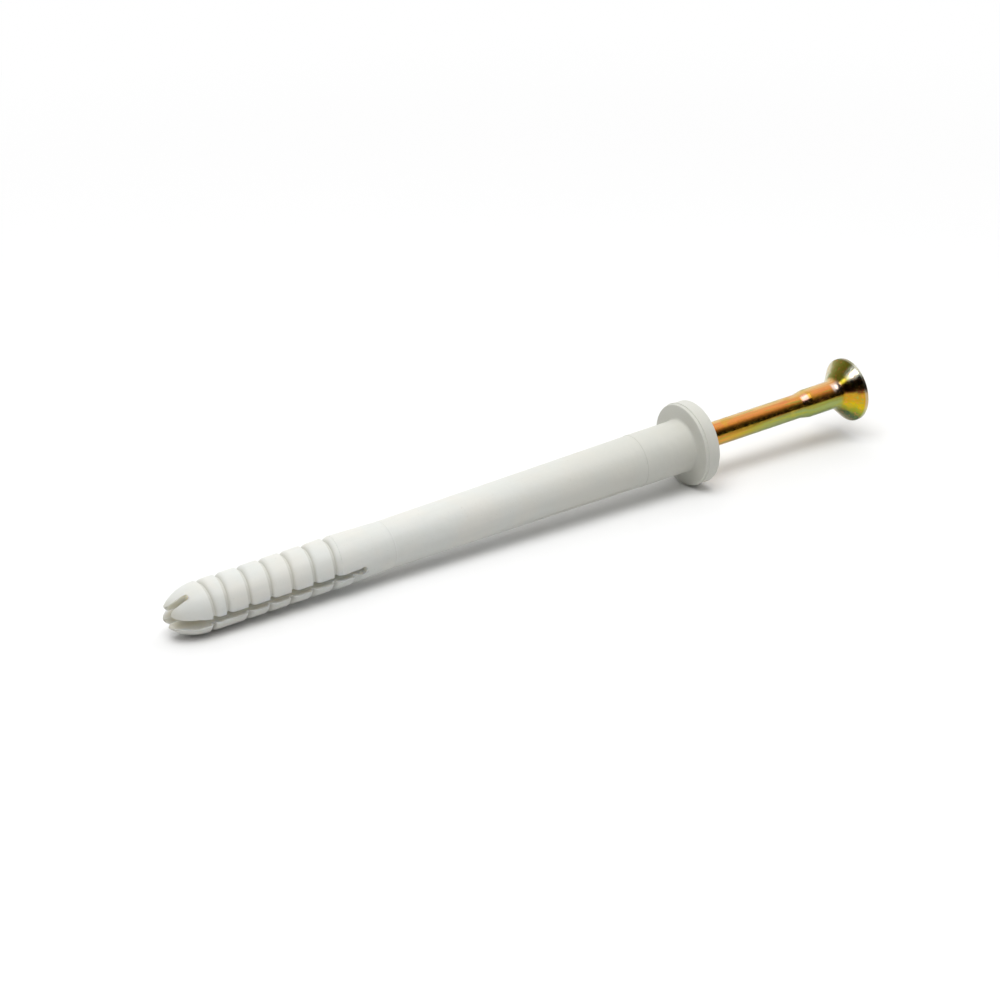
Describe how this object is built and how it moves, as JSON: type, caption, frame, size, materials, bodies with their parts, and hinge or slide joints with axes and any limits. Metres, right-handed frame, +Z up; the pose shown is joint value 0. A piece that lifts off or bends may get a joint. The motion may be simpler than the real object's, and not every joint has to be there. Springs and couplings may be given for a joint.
{
  "type": "hammer-in wall plug with nail screw",
  "caption": "Slotted barbed nylon sleeve with a flat round collar, lying on its side, and a yellow zinc-plated countersunk nail screw started in its bore.",
  "frame": {"origin": "on the surface that the fixing lies on, under the middle of its length", "axes": "+X from the nose towards the nail's head (the axis rises 1.90 degrees, as the fixing lies on its collar and nose), +Z up"},
  "size_m": [0.1332, 0.0142, 0.0143],
  "materials": {
    "nylon": "natural light grey moulded nylon",
    "yellow_zinc": "zinc plated steel, yellow passivated, iridescent"
  },
  "bodies": {
    "root": {"plug_sleeve": "nylon", "nail_screw": "yellow_zinc"}
  },
  "joints": []
}
